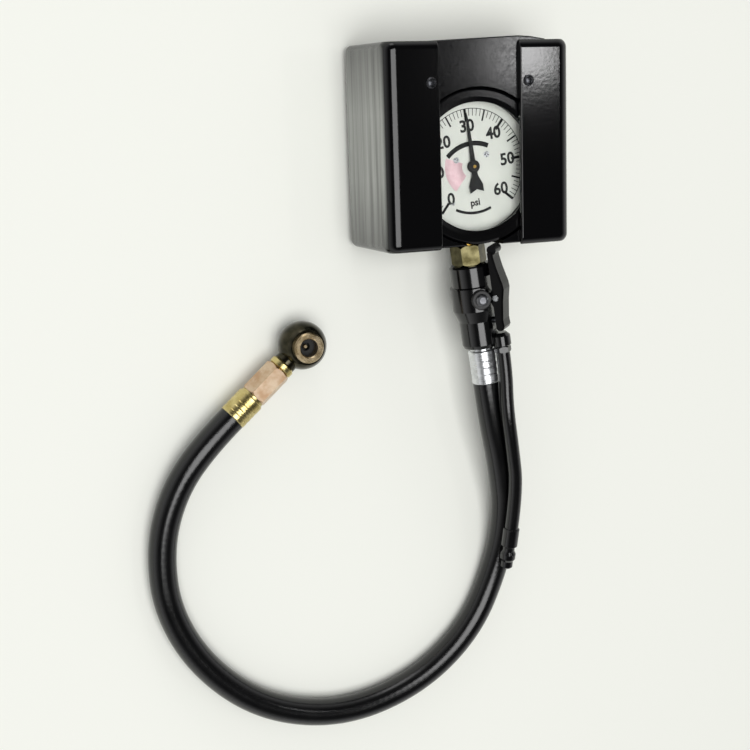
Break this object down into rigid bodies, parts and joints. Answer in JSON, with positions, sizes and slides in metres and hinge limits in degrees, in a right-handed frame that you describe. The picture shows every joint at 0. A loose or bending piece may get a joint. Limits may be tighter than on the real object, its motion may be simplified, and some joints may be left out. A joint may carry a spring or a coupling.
{
  "type": "tyre inflator with gauge",
  "caption": "Hand tyre inflator: dial gauge in a bent steel guard, lever valve, air hose with a ball chuck and a short inlet whip.",
  "frame": {"origin": "centre of the guard's flat back face, on the surface that the tool lies on", "axes": "+X to the right of the dial, +Y towards the dial's top, +Z out of the dial's face"},
  "size_m": [0.1936, 0.3193, 0.0495],
  "materials": {
    "black_coat": "gloss",
    "black_plastic": "gloss",
    "bezel_black": "gloss",
    "steel": "satin",
    "case_steel": "satin",
    "lens_clear": "gloss",
    "rubber_black": "matte",
    "hose_rubber": "satin",
    "dial_white": "matte",
    "pointer_black": "matte",
    "brass": "satin",
    "hex_brass": "satin",
    "copper_brass": "satin",
    "zinc": "satin",
    "bronze": "satin",
    "button_grey": "satin"
  },
  "bodies": {
    "tool": {"guard_shell": "black_coat", "guard_screws": "steel", "gauge_cradle": "black_plastic", "gauge_case": "case_steel", "gauge_bezel": "bezel_black", "lens": "lens_clear", "lens_gasket": "rubber_black", "gauge_socket": "brass", "socket_screws": "steel", "dial_plate": "dial_white", "dial_screws": "steel", "zero_stop_pin": "steel", "sector_shaft": "steel", "bourdon_tube": "bronze", "movement_back_plate": "brass", "movement_front_plate": "brass", "movement_pillars": "brass", "movement_screws": "steel", "hairspring": "bronze", "stem_hex_nipple": "hex_brass", "valve_body": "black_coat", "lever_pin": "steel", "spool_retainer": "steel", "spool_spring": "steel", "inlet_fitting": "black_coat", "hose_ferrule": "zinc", "hose_insert": "steel", "bleed_seat": "black_coat", "bleed_spring": "steel", "main_hose": "hose_rubber", "inlet_whip": "hose_rubber", "inlet_plug": "black_coat", "chuck_ferrule": "brass", "chuck_insert": "brass", "chuck_connector": "copper_brass", "chuck_collar": "brass", "chuck_body": "black_coat", "chuck_seal": "rubber_black", "chuck_mouth_ring": "brass", "poppet_spring": "steel"},
    "needle": {"pointer": "pointer_black", "pointer_arbor": "brass"},
    "sector": {"sector_gear": "brass"},
    "tube_tip": {"bourdon_tip": "bronze", "tip_link": "brass"},
    "lever": {"valve_lever": "black_coat"},
    "spool": {"valve_spool": "brass", "spool_orings": "rubber_black"},
    "bleed": {"bleed_button": "button_grey", "bleed_seal": "rubber_black"},
    "poppet": {"chuck_poppet": "brass", "poppet_seal": "rubber_black"}
  },
  "joints": [
    {"name": "sector_turn", "type": "hinge", "parent": "tool", "child": "sector", "pos_m": [0.00237, -0.02674, 0.032], "axis": [0, 0, 1], "range_deg": [-15, 15], "deforming": ["bourdon_tube"]},
    {"name": "pointer_turn", "type": "hinge", "parent": "tool", "child": "needle", "pos_m": [0, -0.0094, 0.039], "axis": [0, 0, -1], "range_deg": [-135, 135], "deforming": ["hairspring"]},
    {"name": "tube_tip_slide", "type": "slide", "parent": "tool", "child": "tube_tip", "axis": [0.6046, 0.7965, 0], "range_m": [-0.00208, 0.00208]},
    {"name": "lever_press", "type": "hinge", "parent": "tool", "child": "lever", "pos_m": [0.0163, -0.06924, 0.03092], "axis": [0.7363, 0.1009, -0.6691], "range_deg": [0, 8], "stiffness_Nm_per_rad": 0.5, "springref_deg": -5.73, "deforming": ["spool_spring"]},
    {"name": "spool_slide", "type": "slide", "parent": "tool", "child": "spool", "axis": [-0.6629, -0.0908, -0.7431], "range_m": [0, 0.00155]},
    {"name": "bleed_press", "type": "slide", "parent": "tool", "child": "bleed", "axis": [0.172, 0.0236, -0.9848], "range_m": [0, 0.001], "stiffness_N_per_m": 1200, "springref_m": -0.0015, "deforming": ["bleed_spring"]},
    {"name": "poppet_press", "type": "slide", "parent": "tool", "child": "poppet", "axis": [0, 0, -1], "range_m": [0, 0.0012], "stiffness_N_per_m": 800, "springref_m": -0.002, "deforming": ["poppet_spring"]}
  ],
  "couplings": [
    {"joint": "pointer_turn", "follows": "sector_turn", "ratio": 9},
    {"joint": "tube_tip_slide", "follows": "sector_turn", "m_per_rad": 0.007909},
    {"joint": "spool_slide", "follows": "lever_press", "m_per_rad": 0.011}
  ]
}
